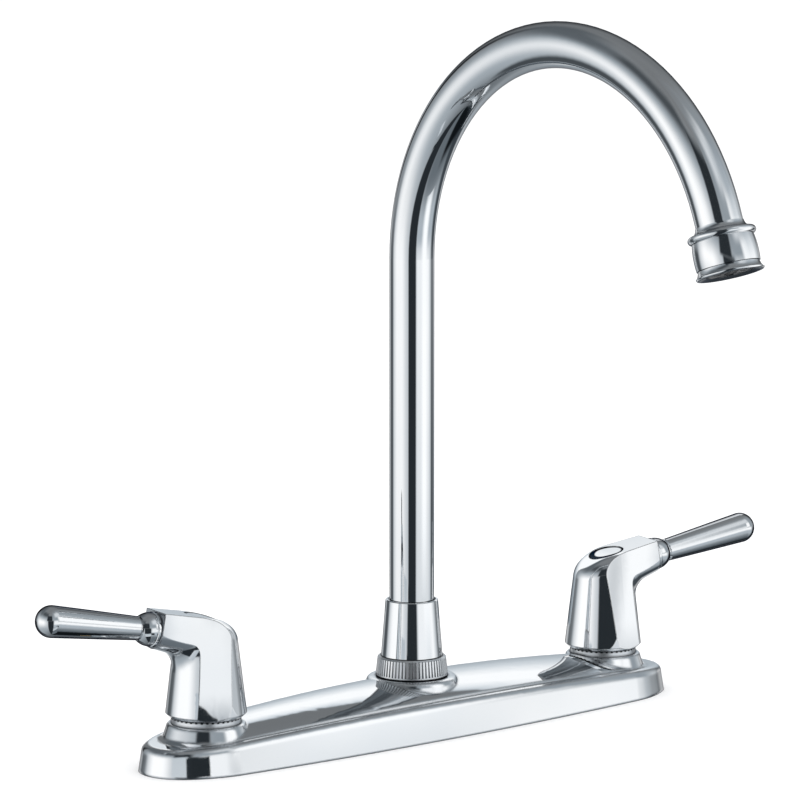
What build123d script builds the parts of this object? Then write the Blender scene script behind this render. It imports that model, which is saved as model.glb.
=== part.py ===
from build123d import *
from math import asin, atan, cos, degrees, radians, sin, sqrt, tan
import os

# Two handle kitchen faucet on a bowed deck plate. Millimetres, +Z up.
# Origin: on the spout axis, in the plane of the deck that the plate stands on.
# +X runs along the plate to the user's right, the user stands at -Y.

# ---- driving dimensions -------------------------------------------------------------------
HANDLE_SPACING = 203.2          # between the two valve axes, the 8 inch centres

# deck plate
PLATE_LENGTH = 259.0
PLATE_WIDTH_MIDDLE = 52.0       # at the spout
PLATE_WIDTH_HANDLES = 43.2      # at the valve axes
PLATE_END_R = 17.0              # tip of the rounded ends in plan
LEDGE_MIDDLE = 14.3             # height of the ledge inside the wall's rim, at the spout
LEDGE_HANDLES = 11.7            # and at the valve axes
PLATE_DRAFT = 9.0               # degrees
PLATE_SHOULDER = 3.0            # rounding between outer wall and ledge
PLATE_WALL = 2.4                # thickness of the casting
CROWN_INSET = 4.8               # ledge and shoulder, from the foot to the crown
CROWN_TOP_MIDDLE = 21.0         # crest of the crown at the spout
CROWN_TOP_HANDLES = 16.1        # crest of the crown at the valve axes
CROWN_RADIUS = 41.5             # cross-section of the crown
CROWN_EDGE = 0.8                # rounding along the crown's edge
CROWN_TURN_X = 105.0            # from here on the crown rounds down to the end of the plate

# bosses of the plate
VALVE_BOSS_TOP = 16.9
VALVE_BOSS_R_TOP = 14.7
VALVE_BOSS_R_FOOT = 16.5
VALVE_BOSS_FOOT = 11.6
SPOUT_BOSS_TOP = 21.1
SPOUT_BOSS_R_TOP = 17.5
SPOUT_BOSS_R_FOOT = 18.4
SPOUT_BOSS_FOOT = 15.0
VALVE_BOSS_LIP = 1.2            # rounding of a boss's rim
SPOUT_BOSS_LIP = 2.2
BOSS_CLEARANCE = 0.3            # between a boss and the brass that stands in it

# gasket under the plate
GASKET_THICKNESS = 2.4
GASKET_CLEARANCE = 0.4          # to the plate's wall and to the shanks

# valve bodies and what holds them under the deck
SHANK_R = 10.45                 # half inch pipe thread, outside
SHANK_LENGTH = 52.0             # below the deck
SHANK_BORE_R = 6.0
SHANK_RELIEF_R = 9.9            # groove that ends the supply thread below the lock nut
SHANK_RELIEF_LENGTH = 1.4
SHANK_RELIEF_BELOW_NUT = 1.0
VALVE_FLANGE_R = 15.5
VALVE_FLANGE_THICKNESS = 2.8
VALVE_HUB_R = 11.9
VALVE_THREAD_R = 11.3
VALVE_THREAD_LENGTH = 1.8
VALVE_TOP = 17.6
DECK_THICKNESS = 12.0           # the deck that the nuts are run up to
WASHER_R = 18.0
WASHER_THICKNESS = 1.6
LOCKNUT_ACROSS_FLATS = 31.0
LOCKNUT_THICKNESS = 7.0
THREAD_CLEARANCE = 0.05

# cross tubes inside the plate
WATERWAY_Z = 10.0
WATERWAY_R = 4.5
WATERWAY_WALL = 0.9
WATERWAY_SOCKET = 2.0           # how far a tube end goes into its socket
SOLDER_FIT = 0.05

# cartridge
CARTRIDGE_R = 9.3
CARTRIDGE_CLEARANCE = 0.05
CARTRIDGE_FLANGE_THICKNESS = 1.0
CARTRIDGE_NECK_R = 6.4
CARTRIDGE_TOP = 27.0
SEAT_Z = 5.2                    # bottom of the cartridge chamber
SEAT_SEAL_THICKNESS = 1.4
SEAT_SEAL_INNER_R = 5.6
SEAT_SEAL_OUTER_R = 8.6
DISC_R = 7.4
DISC_THICKNESS = 2.4
DISC_GAP = 0.05                 # lapped faces, kept just apart
DISC_PORT_R = 1.8
DISC_PORT_OFFSET = 3.9
DISC_CHAMBER_CLEARANCE = 0.2
OUTLET_WINDOW_R = 2.6

# stem
STEM_R = 4.0
STEM_RUNNING_FIT = 0.05
STEM_DRIVER_R = 6.8
STEM_DRIVER_THICKNESS = 1.6
STEM_DRIVER_CLEARANCE = 0.2
STEM_TOP = 40.0
STEM_SPLINE_TEETH = 20
STEM_SPLINE_DEPTH = 0.45
STEM_RING_Z = 18.0
STEM_RING_HEIGHT = 1.8
STEM_RING_DEPTH = 1.0
RING_FIT = 0.02                 # an O-ring to the wall it seals on

# bonnet nut, the fine scalloped ring under a handle
BONNET_R = 13.3
BONNET_RING_TOP = 19.0
BONNET_TOP = 20.2
BONNET_TOP_R = 12.0
BONNET_LIP_R = 6.7
BONNET_NOTCHES = 40
BONNET_NOTCH_DEPTH = 0.5

# handle: round skirt, flat sided arm, turned lever
LEFT_HANDLE_TURN = -8.0         # degrees about +Z, as the levers stand when the water is off
RIGHT_HANDLE_TURN = -11.6
SKIRT_BOTTOM = 19.4
SKIRT_CHAMFER = 1.4
SKIRT_R = 15.4
COLUMN_TAPER = 6.8              # degrees, the round part draws in upwards
COLUMN_TOP_Z = 75.0             # of the rough shape, before the top is cut
SKIRT_INNER_R = 13.3
SKIRT_CAVITY_TOP = 32.0
SKIRT_CAVITY_TOP_R = 10.4
HANDLE_HUB_R = 6.6              # broached socket for the stem, inside the skirt
HANDLE_HUB_BOTTOM = 28.0
TOP_Z = 57.5                    # top face above the valve axis
TOP_SLOPE = 10.6                # degrees, up towards the lever
TOP_FLAT_X = 2.0                # the top face is flat from here on towards the lever
TOP_BOW_R = 26.0                # behind that it bows down
TOP_BACK_ROUND = 7.5            # and rolls over into the column
TOP_ROUND_FADE = 24.0           # degrees, how fast that rounding runs out along the arm
ARM_REACH_BACK = 3.0            # the flats hide where arm and back meet
FLANK_FOOT = 15.3               # half width between the flat flanks, on the valve axis
FLANK_TOP = 9.2
FLANK_TOP_Z = 56.0
ARM_END = 22.3                  # end face of the arm, from the axis
ARM_END_HALF_WIDTH = 7.2
ARM_END_R = 7.25                # the arm's underside is round
ARM_TAPER = 10.5                # degrees, the underside grows towards the column
ARM_THROAT_R = 8.0              # rounding between arm and column

# lever
LEVER_SLOPE = 10.0              # degrees
LEVER_Z_AT_ARM = 54.5
COLLAR_R = 6.7
COLLAR_LENGTH = 6.7
COLLAR_EDGE = 0.5
COLLAR_FLANGE = 1.3             # length of the flange against the arm
COLLAR_GROOVE = 0.5
COLLAR_DOME_R = 6.45
NECK_R = 4.55
NECK_LENGTH = 1.0
GRIP_MID_R = 5.35
GRIP_TIP_R = 6.1
GRIP_LENGTH = 35.8              # from the neck to the centre of the round tip
LEVER_TENON_R = 3.0
LEVER_TENON_LENGTH = 9.0

# cap and screw on top of a handle
CAP_R = 6.6
CAP_OFFSET = 1.2                # centre, from the axis towards the lever
CAP_SEAT_DEPTH = 4.2
CAP_GROOVE = 0.45
CAP_INSET = 0.25                # the cap's face lies this much below the handle's
SCREW_R = 2.0
SCREW_HEAD_R = 3.6
SCREW_HEAD_HEIGHT = 2.6
SCREW_HEAD_SEAT = 46.0
SCREW_BOTTOM = 33.0
SCREW_CLEARANCE = 0.1
SCREW_HEX_R = 1.6
SCREW_HEX_DEPTH = 1.5

# spout
TUBE_R = 8.7
TUBE_WALL = 1.0
TUBE_STRAIGHT_TOP = 184.6
TUBE_BEND_R = 86.25              # centreline
TUBE_SWEEP = 161.3              # degrees of gooseneck
TUBE_TAIL = 8.0                 # straight end, the last of it inside the outlet collar
POST_R = 12.85
POST_FLANGE_R = 15.5
POST_FLANGE_THICKNESS = 2.8
POST_TOP = 24.0
TAIL_R = 10.4                   # turned end of the spout, runs in the post
TAIL_RUNNING_FIT = 0.06
TAIL_BOTTOM = 14.8
TAIL_BORE_R = 7.0
TAIL_SOCKET_BOTTOM = 22.4
TAIL_FLANGE_R = 11.4
TAIL_FLANGE_THICKNESS = 1.9
TAIL_AXIAL_GAP = 0.1
TAIL_NECK_R = 9.6
TAIL_NECK_TOP = 31.0
TAIL_RING_HEIGHT = 1.8
TAIL_RING_DEPTH = 1.5
TAIL_RING_LOW_Z = 16.0
TAIL_RING_PITCH = 3.9
WASHER_RING_THICKNESS = 1.0
NUT_R_BOTTOM = 14.05
NUT_R_TOP = 13.35
NUT_TOP = 29.0
NUT_RIM = 1.1                   # smooth rim below the serrations
NUT_TEETH = 64
NUT_TOOTH_DEPTH = 0.45
NUT_LIP = 1.9
NUT_OPENING_CLEARANCE = 0.35
SLEEVE_GAP = 0.3
SLEEVE_R_BOTTOM = 12.0
SLEEVE_R_TOP = 10.25
SLEEVE_TOP = 51.2
SLEEVE_WALL = 1.2
SLEEVE_GRIP = 2.6               # length that grips the tube
SLEEVE_LIP_R = 9.4
SLEEVE_LIP = 0.6                # depth of the recess between rim and tube
SLEEVE_EDGE = 0.3
SLEEVE_FIT = 0.05

# outlet, measured along the tube's own direction from the bead
OUTLET_BEAD_R = 12.5
OUTLET_BEAD_HALF = 1.4
OUTLET_BARREL_R = 11.3
OUTLET_LENGTH = 11.2
OUTLET_BELLY_R = 11.85         # the barrel swells a little below its middle
OUTLET_FOOT_R = 11.65
OUTLET_EDGE = 0.15              # thin edge where the flare ends on the tube
OUTLET_FLARE = 2.6             # concave flare from the tube up to the bead
OUTLET_FLARE_R = 10.6
OUTLET_THREAD_R = 9.6
OUTLET_TUBE_DEPTH = 3.0
OUTLET_STEP = 1.0
AERATOR_GAP = 0.25
AERATOR_RING_R = 12.5
AERATOR_RING_LENGTH = 3.1
AERATOR_NECK_R = 11.3
AERATOR_RING_LIP = 0.7
AERATOR_MOUTH_R = 11.2
AERATOR_BORE_R = 8.9
AERATOR_WASHER_THICKNESS = 1.4
AERATOR_WASHER_INNER_R = 6.6
INSERT_LIP = 1.0
INSERT_WALL = 0.8
INSERT_DEPTH = 5.8
SCREEN_THICKNESS = 0.8
SCREEN_RECESS = 1.3
SCREEN_HOLE_R = 0.95
SCREEN_PITCH = 3.1
SCREEN_ROWS = 2                 # rings of holes around the middle one

# ---- worked out from the above ------------------------------------------------------------
VALVE_X = HANDLE_SPACING / 2
DISC_LOW_Z = SEAT_Z + SEAT_SEAL_THICKNESS
DISC_HIGH_Z = DISC_LOW_Z + DISC_THICKNESS + DISC_GAP
STEM_BOTTOM = DISC_HIGH_Z + DISC_THICKNESS
CHAMBER_TOP = STEM_BOTTOM + STEM_DRIVER_THICKNESS + STEM_DRIVER_CLEARANCE
NUT_BOTTOM = SPOUT_BOSS_TOP
TAIL_FLANGE_Z = POST_TOP + TAIL_AXIAL_GAP
THRUST_WASHER_Z = TAIL_FLANGE_Z + TAIL_FLANGE_THICKNESS + TAIL_AXIAL_GAP
SLEEVE_BOTTOM = NUT_TOP + SLEEVE_GAP
OUTLET_SHOULDER = OUTLET_TUBE_DEPTH + OUTLET_STEP


# ---- helpers ------------------------------------------------------------------------------
def turned(points, place=None):
    """Solid of revolution about Z from (radius, height) corners."""
    outline = Polyline([(r, 0, z) for r, z in points], close=True)
    solid = revolve(make_face(outline), Axis.Z, 360)
    return place * solid if place else solid


def rod(radius, low, high):
    """Upright cylinder between two heights."""
    return Pos(0, 0, (low + high) / 2) * Cylinder(radius, high - low)


def ring(inner, outer, low, high):
    """Upright tube between two heights."""
    return rod(outer, low, high) - rod(inner, low, high)


def save(shape, node):
    export_step(shape, f"parts/{node}.step")


def plate_outline(inset=0.0):
    """Plan of the plate: bowed sides and rounded ends, drawn in by inset."""
    half_mid = PLATE_WIDTH_MIDDLE / 2
    half_end = PLATE_WIDTH_HANDLES / 2
    side = ThreePointArc((-VALVE_X, -half_end), (0, -half_mid), (VALVE_X, -half_end))
    start, along = side.position_at(1), side.tangent_at(1)
    inward = Vector(-along.Y, along.X)
    nose = Vector(PLATE_LENGTH / 2 - PLATE_END_R, 0)
    gap = start - nose
    turn_r = (PLATE_END_R**2 - gap.length**2) / (2 * (inward.dot(gap) + PLATE_END_R))
    meet = nose + (nose - start - inward * turn_r).normalized() * PLATE_END_R
    turn = TangentArc(start, meet, tangent=along)
    end = ThreePointArc(meet, (PLATE_LENGTH / 2, 0), (meet.X, -meet.Y))
    far = mirror(Compound(children=[side, turn]), Plane.XZ).edges()
    half = [turn, end, far[1]]
    face = make_face([side, far[0]] + half + [mirror(edge, Plane.YZ) for edge in half])
    if face.face().normal_at().Z < 0:
        face = mirror(face, Plane.XY)
    return offset(face, -inset) if inset else face


def bow_height(x, middle, handles):
    """Height at x of the arc that bows along the plate, and the slope of the arc there in radians."""
    drop = middle - handles
    bow_r = (VALVE_X**2 + drop**2) / (2 * drop)
    return middle - bow_r + sqrt(bow_r**2 - x**2), asin(x / bow_r)


def under_bow(middle, handles):
    """Block under a bow that runs straight across the plate."""
    half = PLATE_LENGTH / 2 + 2
    end, _ = bow_height(half, middle, handles)
    bow = ThreePointArc((-half, 0, end), (0, 0, middle), (half, 0, end))
    sides = Polyline((half, 0, end), (half, 0, -1), (-half, 0, -1), (-half, 0, end))
    return extrude(make_face([bow, sides]), PLATE_WIDTH_MIDDLE, both=True)


def crown_barrel(sink=0.0):
    """Barrel along X with ball ends, its skin is the top of the crown or lies under it by sink."""
    axis_z = CROWN_TOP_MIDDLE - CROWN_RADIUS
    turn_z, slope = bow_height(CROWN_TURN_X, CROWN_TOP_MIDDLE, CROWN_TOP_HANDLES)
    ball_r = (turn_z - axis_z) / cos(slope)
    ball_x = CROWN_TURN_X - (turn_z - axis_z) * tan(slope)
    high, low = turn_z - sink * cos(slope), ball_r - sink
    turn_x = CROWN_TURN_X - sink * sin(slope)
    bow = ThreePointArc((-turn_x, 0, high), (0, 0, CROWN_TOP_MIDDLE - sink), (turn_x, 0, high))
    lean = (slope + radians(90)) / 2
    knee = (ball_x + low * sin(lean), 0, axis_z + low * cos(lean))
    ends = [ThreePointArc((side * turn_x, 0, high), (side * knee[0], 0, knee[2]), (side * (ball_x + low), 0, axis_z))
            for side in (1, -1)]
    foot = Line((ball_x + low, 0, axis_z), (-ball_x - low, 0, axis_z))
    return revolve(make_face([bow, ends[0], foot, ends[1]]), Axis((0, 0, axis_z), (1, 0, 0)), 360)


def boss(top, foot, top_r, foot_r, lip):
    """Cone that stands out of the crown, with a rounded rim."""
    cone = turned([(0, foot), (foot_r, foot), (top_r, top), (0, top)])
    return fillet(cone.edges().group_by(Axis.Z)[-1], lip)


# ---- pieces of the fixed body -------------------------------------------------------------
def make_deck_plate():
    tall = CROWN_TOP_MIDDLE + 5
    wall = extrude(plate_outline(), tall, taper=PLATE_DRAFT)
    wall &= under_bow(LEDGE_MIDDLE, LEDGE_HANDLES)
    wall = fillet(wall.faces().sort_by(Axis.Z)[-1].edges(), PLATE_SHOULDER)
    crown = extrude(plate_outline(CROWN_INSET), tall)
    crown &= crown_barrel()
    crown = fillet(crown.faces().sort_by(Axis.Z)[-1].edges(), CROWN_EDGE)
    plate = wall + crown
    valve = (VALVE_BOSS_TOP, VALVE_BOSS_FOOT, VALVE_BOSS_R_TOP, VALVE_BOSS_R_FOOT, VALVE_BOSS_LIP)
    spout = (SPOUT_BOSS_TOP, SPOUT_BOSS_FOOT, SPOUT_BOSS_R_TOP, SPOUT_BOSS_R_FOOT, SPOUT_BOSS_LIP)
    spots = ((-VALVE_X, valve, VALVE_HUB_R), (0, spout, POST_R), (VALVE_X, valve, VALVE_HUB_R))
    for x, cone, _ in spots:
        plate += Pos(x, 0, 0) * boss(*cone)
    hollow = extrude(plate_outline(PLATE_WALL), tall, taper=PLATE_DRAFT)
    plate -= hollow & under_bow(LEDGE_MIDDLE - PLATE_WALL, LEDGE_HANDLES - PLATE_WALL)
    plate -= extrude(plate_outline(CROWN_INSET + PLATE_WALL), tall) & crown_barrel(PLATE_WALL)
    for x, (top, _, top_r, _, lip), stands_in in spots:
        plate -= Pos(x, 0, 0) * rod(top_r - lip, top, tall)
        plate -= Pos(x, 0, 0) * rod(stands_in + BOSS_CLEARANCE, 0, top + 1)
    return plate


def make_deck_gasket():
    pad = extrude(plate_outline(PLATE_WALL + GASKET_CLEARANCE), GASKET_THICKNESS)
    for x in (-VALVE_X, VALVE_X):
        pad -= Pos(x, 0, 0) * rod(SHANK_R + GASKET_CLEARANCE, -1, GASKET_THICKNESS + 1)
    return pad


def make_valve_body(side):
    """Brass body in local place, side is -1 for the left one and 1 for the right one."""
    low = GASKET_THICKNESS
    flange_top = low + VALVE_FLANGE_THICKNESS
    relief = -DECK_THICKNESS - WASHER_THICKNESS - LOCKNUT_THICKNESS - SHANK_RELIEF_BELOW_NUT
    body = turned([(SHANK_BORE_R, -SHANK_LENGTH), (SHANK_R, -SHANK_LENGTH),
                   (SHANK_R, relief - SHANK_RELIEF_LENGTH), (SHANK_RELIEF_R, relief - SHANK_RELIEF_LENGTH),
                   (SHANK_RELIEF_R, relief), (SHANK_R, relief), (SHANK_R, low),
                   (VALVE_FLANGE_R, low), (VALVE_FLANGE_R, flange_top), (VALVE_HUB_R, flange_top),
                   (VALVE_HUB_R, VALVE_TOP - VALVE_THREAD_LENGTH),
                   (VALVE_THREAD_R, VALVE_TOP - VALVE_THREAD_LENGTH), (VALVE_THREAD_R, VALVE_TOP),
                   (CARTRIDGE_R + CARTRIDGE_CLEARANCE, VALVE_TOP),
                   (CARTRIDGE_R + CARTRIDGE_CLEARANCE, SEAT_Z), (SHANK_BORE_R, SEAT_Z)])
    body -= waterway_cut(side, WATERWAY_R + SOLDER_FIT, VALVE_HUB_R - WATERWAY_SOCKET)
    return body - waterway_cut(side, WATERWAY_R - WATERWAY_WALL, CARTRIDGE_R / 2)


def waterway_cut(side, radius, start):
    """Cylinder along X from start outwards, on the side of the valve that faces the spout."""
    reach = 2 * VALVE_HUB_R
    return Pos(-side * (start + reach / 2), 0, WATERWAY_Z) * Rot(0, 90, 0) * Cylinder(radius, reach)


def make_waterway_tube(side):
    near = POST_R - WATERWAY_SOCKET
    far = VALVE_X - VALVE_HUB_R + WATERWAY_SOCKET
    place = Pos(side * (near + far) / 2, 0, WATERWAY_Z) * Rot(0, 90, 0)
    return place * (Cylinder(WATERWAY_R, far - near) - Cylinder(WATERWAY_R - WATERWAY_WALL, far - near))


def make_seat_seal():
    return ring(SEAT_SEAL_INNER_R, SEAT_SEAL_OUTER_R, SEAT_Z, DISC_LOW_Z)


def make_cartridge():
    """Shell of the cartridge: chamber for the two discs, neck that guides the stem."""
    chamber_r = DISC_R + DISC_CHAMBER_CLEARANCE
    bore_r = STEM_R + STEM_RUNNING_FIT
    flange_top = VALVE_TOP + CARTRIDGE_FLANGE_THICKNESS
    shell = turned([(chamber_r, DISC_LOW_Z), (CARTRIDGE_R, DISC_LOW_Z), (CARTRIDGE_R, VALVE_TOP),
                    (VALVE_THREAD_R, VALVE_TOP), (VALVE_THREAD_R, flange_top),
                    (CARTRIDGE_NECK_R, flange_top), (CARTRIDGE_NECK_R, CARTRIDGE_TOP),
                    (bore_r, CARTRIDGE_TOP), (bore_r, CHAMBER_TOP), (chamber_r, CHAMBER_TOP)])
    window = Pos(0, 0, WATERWAY_Z) * Rot(0, 90, 0) * Cylinder(OUTLET_WINDOW_R, 3 * CARTRIDGE_R)
    return shell - window


def make_disc(low):
    """Ceramic disc with two water ports."""
    disc = rod(DISC_R, low, low + DISC_THICKNESS)
    for x in (-DISC_PORT_OFFSET, DISC_PORT_OFFSET):
        disc -= Pos(x, 0, 0) * rod(DISC_PORT_R, low - 1, low + DISC_THICKNESS + 1)
    return disc


def make_bonnet_nut():
    """Ring that holds the cartridge down, with fine notches around its upper edge."""
    inner = VALVE_THREAD_R + THREAD_CLEARANCE
    seat = VALVE_TOP + CARTRIDGE_FLANGE_THICKNESS
    nut = turned([(inner, VALVE_BOSS_TOP), (BONNET_R, VALVE_BOSS_TOP), (BONNET_R, BONNET_RING_TOP),
                  (BONNET_TOP_R, BONNET_TOP), (BONNET_LIP_R, BONNET_TOP), (BONNET_LIP_R, seat), (inner, seat)])
    notch = Pos(BONNET_R, 0, BONNET_RING_TOP) * Rot(0, 45, 0) * Box(BONNET_NOTCH_DEPTH, 0.9, 2.0)
    return nut - [Rot(0, 0, 360 / BONNET_NOTCHES * i) * notch for i in range(BONNET_NOTCHES)]


def make_mounting_washers():
    high = -DECK_THICKNESS
    washer = ring(SHANK_R + THREAD_CLEARANCE, WASHER_R, high - WASHER_THICKNESS, high)
    return Compound(children=[Pos(x, 0, 0) * washer for x in (-VALVE_X, VALVE_X)])


def make_mounting_nuts():
    high = -DECK_THICKNESS - WASHER_THICKNESS
    hexagon = RegularPolygon(LOCKNUT_ACROSS_FLATS / 2, 6, major_radius=False)
    nut = Pos(0, 0, high - LOCKNUT_THICKNESS) * extrude(hexagon, LOCKNUT_THICKNESS)
    corner_r = LOCKNUT_ACROSS_FLATS / 2 * 1.1
    rise = LOCKNUT_THICKNESS
    nut &= turned([(0, high - rise), (corner_r - 1, high - rise), (corner_r + 0.4, high - rise + 1),
                   (corner_r + 0.4, high), (0, high)])
    nut -= rod(SHANK_R + THREAD_CLEARANCE, high - rise - 1, high + 1)
    return Compound(children=[Pos(x, 0, 0) * nut for x in (-VALVE_X, VALVE_X)])


# ---- pieces that turn with a handle -------------------------------------------------------
def make_stem():
    """Driver, guided journal with a ring groove, and splined end."""
    ring_low = STEM_RING_Z
    ring_high = STEM_RING_Z + STEM_RING_HEIGHT
    groove_r = STEM_R - STEM_RING_DEPTH
    driver_top = STEM_BOTTOM + STEM_DRIVER_THICKNESS
    stem = turned([(0, STEM_BOTTOM), (STEM_DRIVER_R, STEM_BOTTOM), (STEM_DRIVER_R, driver_top),
                   (STEM_R, driver_top), (STEM_R, ring_low), (groove_r, ring_low), (groove_r, ring_high),
                   (STEM_R, ring_high), (STEM_R, STEM_TOP), (0, STEM_TOP)])
    tooth_gap = Pos(STEM_R, 0, (HANDLE_HUB_BOTTOM + STEM_TOP) / 2) * Rot(0, 0, 45) * Box(
        STEM_SPLINE_DEPTH, STEM_SPLINE_DEPTH, STEM_TOP - HANDLE_HUB_BOTTOM + 1)
    stem -= [Rot(0, 0, 360 / STEM_SPLINE_TEETH * i) * tooth_gap for i in range(STEM_SPLINE_TEETH)]
    return stem - rod(SCREW_R + SCREW_CLEARANCE, SCREW_BOTTOM - 1, STEM_TOP + 1)


def make_stem_ring():
    outer = STEM_R + STEM_RUNNING_FIT - RING_FIT
    return ring(STEM_R - STEM_RING_DEPTH, outer, STEM_RING_Z, STEM_RING_Z + STEM_RING_HEIGHT)


def top_frame():
    """Place on the top face where its bow ends: local Z is square to the face."""
    return Pos(TOP_FLAT_X, 0, TOP_Z + TOP_FLAT_X * tan(radians(TOP_SLOPE))) * Rot(0, -TOP_SLOPE, 0)


def under_top(sink=0.0):
    """Everything under the sloping top face, which bows down behind the cap."""
    wide, deep = 40, 60
    back = 0.9 * TOP_BOW_R
    low = TOP_BOW_R - sqrt(TOP_BOW_R**2 - back**2)
    bow = TangentArc((0, 0, 0), (-back, 0, -low), tangent=(-1, 0, 0))
    rest = Polyline((-back, 0, -low), (-wide, 0, -deep), (wide, 0, -deep), (wide, 0, 0), (0, 0, 0))
    return Pos(0, 0, -sink) * top_frame() * extrude(make_face([bow, rest]), wide, both=True)


def column_r(height):
    """Radius of the handle's round part."""
    return SKIRT_R - (height - SKIRT_BOTTOM - SKIRT_CHAMFER) * tan(radians(COLUMN_TAPER))


def rounded_top():
    """Round back that spreads towards the lever, with its rim rolled over into the top face."""
    base_r = column_r(SKIRT_BOTTOM)
    fade = radians(TOP_ROUND_FADE)
    meet = Vector(-base_r * sin(fade), base_r * cos(fade))
    ahead = Vector(2 * ARM_END, meet.Y + (2 * ARM_END - meet.X) * tan(fade))
    back = ThreePointArc((meet.X, meet.Y), (-base_r, 0), (meet.X, -meet.Y))
    sides = Polyline((meet.X, -meet.Y), (ahead.X, -ahead.Y), (ahead.X, ahead.Y), (meet.X, meet.Y))
    block = Pos(0, 0, SKIRT_BOTTOM) * extrude(make_face([back, sides]), COLUMN_TOP_Z - SKIRT_BOTTOM,
                                              taper=COLUMN_TAPER)
    block &= under_top()
    rim = [e for e in block.edges() if e.center().Z > LEVER_Z_AT_ARM - 8 and e.center().X < ARM_END and
           e.bounding_box().size.Z < ARM_END]
    return block, rim


def flank_section(x):
    """Section across the handle: half width shrinks upwards and towards the lever."""
    part = x / ARM_END
    foot = FLANK_FOOT + (ARM_END_HALF_WIDTH - FLANK_FOOT) * part
    top = FLANK_TOP + (ARM_END_HALF_WIDTH - FLANK_TOP) * part
    lean = (foot - top) / (FLANK_TOP_Z - SKIRT_BOTTOM)
    low, high = SKIRT_BOTTOM - 5, COLUMN_TOP_Z + 15
    wide, narrow = foot + 5 * lean, top - (high - FLANK_TOP_Z) * lean
    corners = [(wide, low), (narrow, high), (-narrow, high), (-wide, low)]
    return make_face(Polyline([(x, y, z) for y, z in corners], close=True))


def between_flanks():
    """Solid between the two flanks."""
    return loft([flank_section(-SKIRT_R - 2), flank_section(ARM_END + 6)], ruled=True)


def lever_place():
    """Centre of the arm's end face: local Z runs out along the lever."""
    return Pos(ARM_END, 0, LEVER_Z_AT_ARM) * Rot(0, 90 - LEVER_SLOPE, 0)


def make_handle_body():
    """Handle in its own place: axis on Z, lever towards +X."""
    column = turned([(0, SKIRT_BOTTOM), (column_r(SKIRT_BOTTOM), SKIRT_BOTTOM),
                     (column_r(COLUMN_TOP_Z), COLUMN_TOP_Z), (0, COLUMN_TOP_Z)])
    reach = ARM_END / cos(radians(LEVER_SLOPE))
    grown = ARM_END_R + reach * tan(radians(ARM_TAPER))
    arm = Rot(0, 0, 180) * turned([(0, -reach), (grown, -reach), (ARM_END_R, 0), (0, 0)])
    arm += Pos(-grown, 0, -reach / 2) * Box(2 * grown, 4 * grown, reach)
    body = Rot(0, 0, 180) * column + lever_place() * arm
    body &= between_flanks()
    throat = [e for e in body.edges() if ARM_END_R < e.center().X < ARM_END - 4 and
              SKIRT_CAVITY_TOP < e.center().Z < LEVER_Z_AT_ARM - ARM_END_R and abs(e.center().Y) < 1]
    body = fillet(throat, ARM_THROAT_R)
    behind = 2 * SKIRT_R
    body += Pos(ARM_REACH_BACK - behind / 2, 0, SKIRT_BOTTOM + behind) * Box(behind, 2 * behind, 2 * behind)
    block, rim = rounded_top()
    body &= between_flanks()
    body &= fillet(rim, TOP_BACK_ROUND)
    foot = SKIRT_R - SKIRT_CHAMFER
    body &= turned([(0, SKIRT_BOTTOM), (foot, SKIRT_BOTTOM), (SKIRT_R, SKIRT_BOTTOM + SKIRT_CHAMFER),
                    (SKIRT_R, SKIRT_CAVITY_TOP), (SKIRT_R + behind, SKIRT_CAVITY_TOP + behind),
                    (SKIRT_R + behind, COLUMN_TOP_Z), (0, COLUMN_TOP_Z)])
    cavity = turned([(0, SKIRT_BOTTOM - 1), (SKIRT_INNER_R, SKIRT_BOTTOM - 1), (SKIRT_INNER_R, SKIRT_BOTTOM + 3),
                     (SKIRT_CAVITY_TOP_R, SKIRT_CAVITY_TOP), (0, SKIRT_CAVITY_TOP)])
    cavity -= rod(HANDLE_HUB_R, HANDLE_HUB_BOTTOM, SKIRT_CAVITY_TOP + 1)
    body -= cavity
    body -= rod(STEM_R, HANDLE_HUB_BOTTOM - 1, STEM_TOP)
    body -= rod(SCREW_R + SCREW_CLEARANCE, STEM_TOP - 1, SCREW_HEAD_SEAT)
    body -= rod(SCREW_HEAD_R + SCREW_CLEARANCE, SCREW_HEAD_SEAT, COLUMN_TOP_Z)
    body -= cap_prism(CAP_GROOVE, CAP_SEAT_DEPTH, 5)
    return body - lever_place() * rod(LEVER_TENON_R + SCREW_CLEARANCE, -LEVER_TENON_LENGTH - 0.3, 1)


def cap_prism(margin, depth, height):
    """Round prism square to the top face, at the place of the cap."""
    shift = (CAP_OFFSET - TOP_FLAT_X) / cos(radians(TOP_SLOPE))
    return top_frame() * Pos(shift, 0, 0) * rod(CAP_R + margin, -depth, height)


def make_index_cap():
    return cap_prism(0, CAP_SEAT_DEPTH, 5) & under_top(CAP_INSET)


def make_handle_screw():
    screw = rod(SCREW_R, SCREW_BOTTOM, SCREW_HEAD_SEAT)
    screw += rod(SCREW_HEAD_R, SCREW_HEAD_SEAT, SCREW_HEAD_SEAT + SCREW_HEAD_HEIGHT)
    socket = extrude(RegularPolygon(SCREW_HEX_R, 6), SCREW_HEX_DEPTH)
    return screw - Pos(0, 0, SCREW_HEAD_SEAT + SCREW_HEAD_HEIGHT - SCREW_HEX_DEPTH) * socket


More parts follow.
